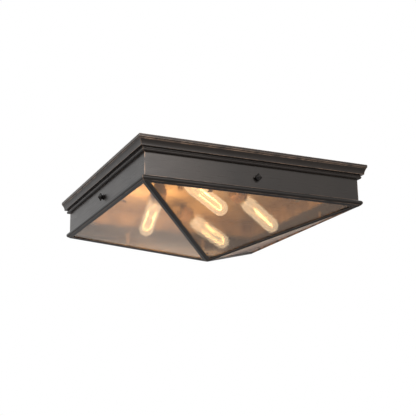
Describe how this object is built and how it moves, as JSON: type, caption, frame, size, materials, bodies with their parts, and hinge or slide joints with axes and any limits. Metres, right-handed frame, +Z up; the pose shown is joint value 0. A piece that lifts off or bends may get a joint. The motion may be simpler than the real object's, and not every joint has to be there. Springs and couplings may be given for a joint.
{
  "type": "flush mount ceiling light",
  "caption": "Square flush mount ceiling light: mitred crown over a shallow box, with a drop-down glass pyramid shade held by side thumb screws and tubular bulbs inside.",
  "frame": {"origin": "centre of the mounting strap's top face, in the plane of the ceiling", "axes": "+Z up into the ceiling, +X along the front side of the box, +Y towards its back side"},
  "size_m": [0.473, 0.473, 0.1619],
  "materials": {
    "bronze_paint": "satin oil-rubbed bronze paint with lighter rubbed edges",
    "dark_bronze": "glossy near-black bronze paint",
    "brushed_bronze": "brushed bronze reflector sheet",
    "aged_brass": "dull aged brass",
    "zinc_steel": "zinc plated",
    "dark_phenolic": "moulded black phenolic",
    "bulb_brass": "bright rolled brass",
    "bulb_glass": "clear blown glass",
    "lit_filament": "glowing hairpin filament",
    "pane_glass": "clear, slightly wavy and seedy pane glass"
  },
  "bodies": {
    "housing": {"crown_back": "bronze_paint", "crown_left": "bronze_paint", "crown_front": "bronze_paint", "crown_right": "bronze_paint", "wall_back": "bronze_paint", "wall_left": "bronze_paint", "wall_front": "bronze_paint", "wall_right": "bronze_paint", "back_pan": "bronze_paint", "reflector": "brushed_bronze", "mounting_strap": "zinc_steel", "strap_studs": "zinc_steel", "cap_nuts": "aged_brass", "clinch_nuts": "zinc_steel", "bracket_left": "aged_brass", "bracket_front": "aged_brass", "bracket_right": "aged_brass", "bracket_back": "aged_brass", "bracket_screws_set": "aged_brass", "holder_left": "dark_phenolic", "holder_front": "dark_phenolic", "holder_right": "dark_phenolic", "holder_back": "dark_phenolic"},
    "shade": {"rail_back": "bronze_paint", "rail_left": "bronze_paint", "rail_front": "bronze_paint", "rail_right": "bronze_paint", "rib_back_left": "bronze_paint", "rib_front_left": "bronze_paint", "rib_front_right": "bronze_paint", "rib_back_right": "bronze_paint", "pane_back": "pane_glass", "pane_left": "pane_glass", "pane_front": "pane_glass", "pane_right": "pane_glass", "pane_clips": "aged_brass", "apex_cap": "bronze_paint", "apex_nut": "aged_brass"},
    "lamp_left": {"bulb_base_left": "bulb_brass", "bulb_glass_left": "bulb_glass", "filament_left": "lit_filament"},
    "lamp_front": {"bulb_base_front": "bulb_brass", "bulb_glass_front": "bulb_glass", "filament_front": "lit_filament"},
    "lamp_right": {"bulb_base_right": "bulb_brass", "bulb_glass_right": "bulb_glass", "filament_right": "lit_filament"},
    "lamp_back": {"bulb_base_back": "bulb_brass", "bulb_glass_back": "bulb_glass", "filament_back": "lit_filament"},
    "washer_back_body": {"washer_back": "aged_brass"},
    "thumb_back_body": {"thumb_screw_back": "dark_bronze"},
    "washer_left_body": {"washer_left": "aged_brass"},
    "thumb_left_body": {"thumb_screw_left": "dark_bronze"},
    "washer_front_body": {"washer_front": "aged_brass"},
    "thumb_front_body": {"thumb_screw_front": "dark_bronze"},
    "washer_right_body": {"washer_right": "aged_brass"},
    "thumb_right_body": {"thumb_screw_right": "dark_bronze"}
  },
  "joints": [
    {"name": "shade_drop", "type": "slide", "parent": "housing", "child": "shade", "axis": [0, 0, -1], "range_m": [0, 0.11]},
    {"name": "lamp_left_out", "type": "slide", "parent": "housing", "child": "lamp_left", "axis": [0.0923, 0.8778, -0.47], "range_m": [0, 0.015]},
    {"name": "lamp_front_out", "type": "slide", "parent": "housing", "child": "lamp_front", "axis": [0.8718, 0.1381, -0.47], "range_m": [0, 0.015]},
    {"name": "lamp_right_out", "type": "slide", "parent": "housing", "child": "lamp_right", "axis": [0.8526, 0.2284, -0.47], "range_m": [0, 0.015]},
    {"name": "lamp_back_out", "type": "slide", "parent": "housing", "child": "lamp_back", "axis": [0.8793, 0.0769, -0.47], "range_m": [0, 0.015]},
    {"name": "washer_back_ride", "type": "slide", "parent": "housing", "child": "washer_back_body", "axis": [0, 1, 0], "range_m": [0, 0.0021]},
    {"name": "thumb_back_turn", "type": "hinge", "parent": "washer_back_body", "child": "thumb_back_body", "pos_m": [0, 0.2213, -0.05], "axis": [0, 1, 0], "range_deg": [0, 1080]},
    {"name": "washer_left_ride", "type": "slide", "parent": "housing", "child": "washer_left_body", "axis": [-1, 0, 0], "range_m": [0, 0.0021]},
    {"name": "thumb_left_turn", "type": "hinge", "parent": "washer_left_body", "child": "thumb_left_body", "pos_m": [-0.2213, 0, -0.05], "axis": [-1, 0, 0], "range_deg": [0, 1080]},
    {"name": "washer_front_ride", "type": "slide", "parent": "housing", "child": "washer_front_body", "axis": [0, -1, 0], "range_m": [0, 0.0021]},
    {"name": "thumb_front_turn", "type": "hinge", "parent": "washer_front_body", "child": "thumb_front_body", "pos_m": [0, -0.2213, -0.05], "axis": [0, -1, 0], "range_deg": [0, 1080]},
    {"name": "washer_right_ride", "type": "slide", "parent": "housing", "child": "washer_right_body", "axis": [1, 0, 0], "range_m": [0, 0.0021]},
    {"name": "thumb_right_turn", "type": "hinge", "parent": "washer_right_body", "child": "thumb_right_body", "pos_m": [0.2213, 0, -0.05], "axis": [1, 0, 0], "range_deg": [0, 1080]}
  ],
  "couplings": [
    {"joint": "washer_back_ride", "follows": "thumb_back_turn", "m_per_rad": 0.0001114},
    {"joint": "washer_left_ride", "follows": "thumb_left_turn", "m_per_rad": 0.0001114},
    {"joint": "washer_front_ride", "follows": "thumb_front_turn", "m_per_rad": 0.0001114},
    {"joint": "washer_right_ride", "follows": "thumb_right_turn", "m_per_rad": 0.0001114}
  ]
}
